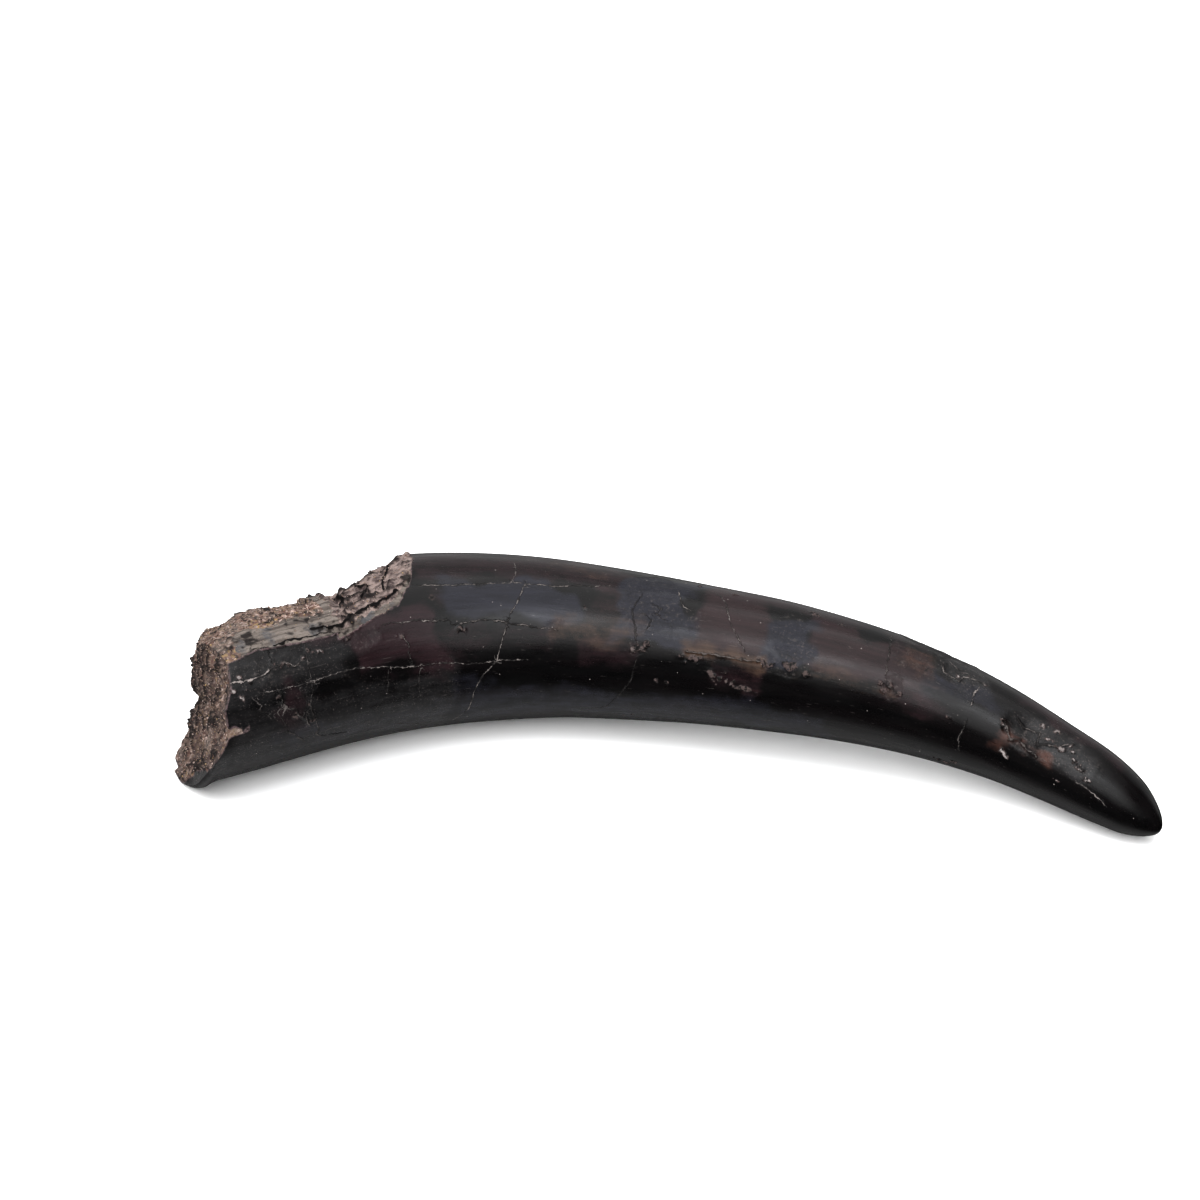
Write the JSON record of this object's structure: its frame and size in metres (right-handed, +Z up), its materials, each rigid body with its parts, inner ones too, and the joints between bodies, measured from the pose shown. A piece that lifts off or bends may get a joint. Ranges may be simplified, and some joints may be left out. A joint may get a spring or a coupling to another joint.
{
  "type": "fossil deinothere tusk",
  "caption": "Loose fossil tusk lying on its side: a curved, tapering shaft of dark polished ivory with a blunt worn tip and a broken root packed with sandy matrix",
  "frame": {"origin": "under the middle of the piece, on the surface that it lies on", "axes": "+X from the root to the tip, -Y the hollow side of the curve, +Z up as it lies"},
  "size_m": [0.3654, 0.1192, 0.0661],
  "materials": {
    "fossil_ivory": "polished, nearly black brown ivory with chips, cracks and a rough sandy broken root"
  },
  "bodies": {
    "root": {"tusk": "fossil_ivory"}
  },
  "joints": []
}
